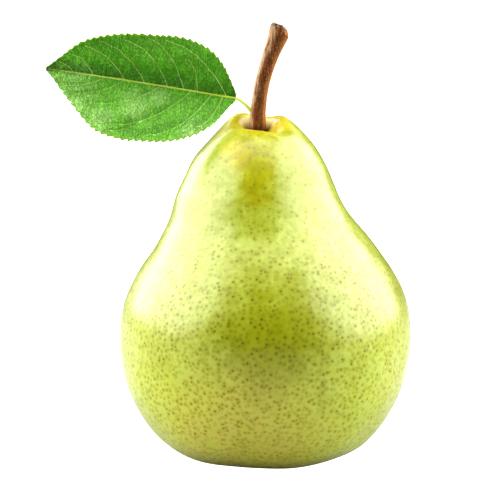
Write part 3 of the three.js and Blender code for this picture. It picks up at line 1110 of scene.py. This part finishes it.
def shape_calyx():
    bm = bmesh.new()
    for i in range(SEPALS):
        twist = noise.noise(Vector((i * 3.7, 0.5, 0.5)))
        sepal_strip(bm, SEPAL_AZIMUTH + 360 * i / SEPALS, twist)
    bmesh.ops.recalc_face_normals(bm, faces=bm.faces)
    bmesh.ops.solidify(bm, geom=bm.faces[:], thickness=SEPAL_THICKNESS)
    for i in range(STAMENS):
        azimuth = GOLDEN_TURN * i
        reach = 0.35 + 0.75 * math.sqrt((i + 0.5) / STAMENS)
        lean = Vector((math.cos(azimuth), math.sin(azimuth), 0))
        thread = bmesh.ops.create_cone(
            bm, cap_ends=True, segments=6, radius1=0.10, radius2=0.07, depth=STAMEN_LENGTH,
            matrix=Matrix.Translation(lean * reach + Vector((0, 0, 4.4))),
        )["verts"]
        for vert in thread:
            down = ease(5.5, 3.3, vert.co.z)
            vert.co += lean * 0.55 * down + Vector((0, 0, 0.35 * noise.noise(lean * 5)))
    bmesh.ops.create_uvsphere(
        bm, u_segments=20, v_segments=10, radius=1.0,
        matrix=Matrix.Translation((0, 0, 5.55)) @ Matrix.Diagonal((1.75, 1.75, 0.5, 1)),
    )
    return bm


calyx_mesh = shape_calyx()
print("the calyx has", SEPALS, "sepals and", STAMENS, "stamens in", len(calyx_mesh.faces), "faces")

# %% [markdown]
# ## Dried brown
# Dead plant matter has no wax left, so it is rough all over: nearly black between its fibres, brown on
# them, and tan in patches where it has bleached.

# %% Dried material
DRIED_DARK = (0.030, 0.018, 0.010)
DRIED_BROWN = (0.130, 0.075, 0.035)
DRIED_TAN = (0.300, 0.200, 0.100)


def make_dried_material():
    material, graph, shader = new_material("dried_calyx")
    where = graph.millimetres()
    strands = fibres(graph, where, 0.25, 1.6)
    patches = mottle(graph, where, 1.2)
    colour = graph.mix(strands, DRIED_DARK, DRIED_BROWN)
    graph.feed_all(shader, {
        "Base Color": graph.mix(graph.product(patches, 0.5), colour, DRIED_TAN),
        "Roughness": graph.map(patches, 0.15, 0.75),
        "Normal": graph.bump(strands, 0.08),
    })
    return material


calyx = make_piece("pear_calyx", calyx_mesh, [make_dried_material()])
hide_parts("calyx")

# %% [markdown]
# ## Light
# Two large soft boxes hang at the sides of the fruit, about a third of the way up to the zenith, and a
# weak one hangs over its front. The side that faces the camera is left without a light, so the middle
# of the fruit stays deep in colour while both flanks shine.

# %% Soft boxes
BOX_DISTANCE = 0.60
BOX_AIM = Vector((BELLY_AXIS.x, BELLY_AXIS.y, 0.05))
# azimuth from the camera, positive to the right, and rise, in degrees; width and height; watts
BOX_LIGHTS = [
    ("left_box", -100, 33, (1.18, 0.70), 8.6),
    ("right_box", 95, 33, (0.95, 0.70), 7.2),
    ("top_box", 0, 78, (0.60, 0.30), 1.6),
]


def add_box_light(name, azimuth, rise, size, power):
    """A soft box that faces the fruit."""
    azimuth, rise = math.radians(azimuth), math.radians(rise)
    flat = Vector((math.sin(azimuth), -math.cos(azimuth), 0))
    towards = flat * math.cos(rise) + Vector((0, 0, math.sin(rise)))
    light = bpy.data.lights.new(name, "AREA")
    light.shape = "RECTANGLE"
    light.size, light.size_y = size
    light.energy = power
    lamp = add_object(name, light)
    lamp.location = BOX_AIM + towards * BOX_DISTANCE
    lamp.rotation_euler = (-towards).to_track_quat("-Z", "Y").to_euler()


for box_light in BOX_LIGHTS:
    add_box_light(*box_light)
print(len(BOX_LIGHTS), "soft boxes:", [row[0] for row in BOX_LIGHTS])

# %% [markdown]
# ## White paper and a white room
# The pear stands on white paper that runs on without a border. The paper and the room are pure white
# for the camera and nearly dark for every other ray, so the skin keeps its colour and its dark rims.

# %% Floor and background
FLOOR_SIZE = 6.0
FLOOR_GREY = (0.45, 0.45, 0.45, 1)
WHITE = (1, 1, 1, 1)
GLOW_SEEN = 1.0
GLOW_CAST = 0.03


def glow(graph):
    return graph.map(graph.add("LightPath").outputs["Is Camera Ray"], GLOW_SEEN, GLOW_CAST)


def make_floor():
    bm = bmesh.new()
    bmesh.ops.create_grid(bm, x_segments=1, y_segments=1, size=FLOOR_SIZE)
    mesh = bpy.data.meshes.new("floor")
    bm.to_mesh(mesh)
    bm.free()
    floor = add_object("floor", mesh)
    material, graph, shader = new_material("floor_paper")
    graph.feed_all(shader, {
        "Base Color": FLOOR_GREY,
        "Roughness": 0.9,
        "Specular IOR Level": 0.1,
        "Emission Color": WHITE,
        "Emission Strength": glow(graph),
    })
    mesh.materials.append(material)


def make_world():
    world = bpy.data.worlds.new("studio")
    bpy.context.scene.world = world
    world.use_nodes = True
    graph = Graph(world.node_tree)
    graph.feed_all(graph.tree.nodes["Background"], {"Color": WHITE, "Strength": glow(graph)})


make_floor()
make_world()
print("the paper reaches", FLOOR_SIZE, "m to each side")

# %% [markdown]
# ## Camera
# The camera stands a little above the fruit and looks slightly down, so the front lip of the crown
# hides the stem's foot. The lens follows from the width that has to be in view at the fruit.

# %% Camera and look
CAMERA_DISTANCE = 0.60
CAMERA_RISE = 8.0
CAMERA_AIM = Vector((-4.1, 0, 53.7))
SENSOR_WIDTH = 36.0
VIEW_WIDTH = 0.128


def make_camera():
    aim = BELLY_AXIS + CAMERA_AIM * MM
    rise = math.radians(CAMERA_RISE)
    back = Vector((0, -math.cos(rise), math.sin(rise)))
    data = bpy.data.cameras.new("camera")
    data.sensor_width = SENSOR_WIDTH
    data.lens = SENSOR_WIDTH * CAMERA_DISTANCE / VIEW_WIDTH
    camera = add_object("camera", data)
    camera.location = aim + back * CAMERA_DISTANCE
    camera.rotation_euler = (-back).to_track_quat("-Z", "Y").to_euler()
    bpy.context.scene.camera = camera
    return data.lens


print("the lens is", round(make_camera()), "mm long")
bpy.context.scene.view_settings.view_transform = "Standard"
bpy.context.scene.view_settings.look = "High Contrast"
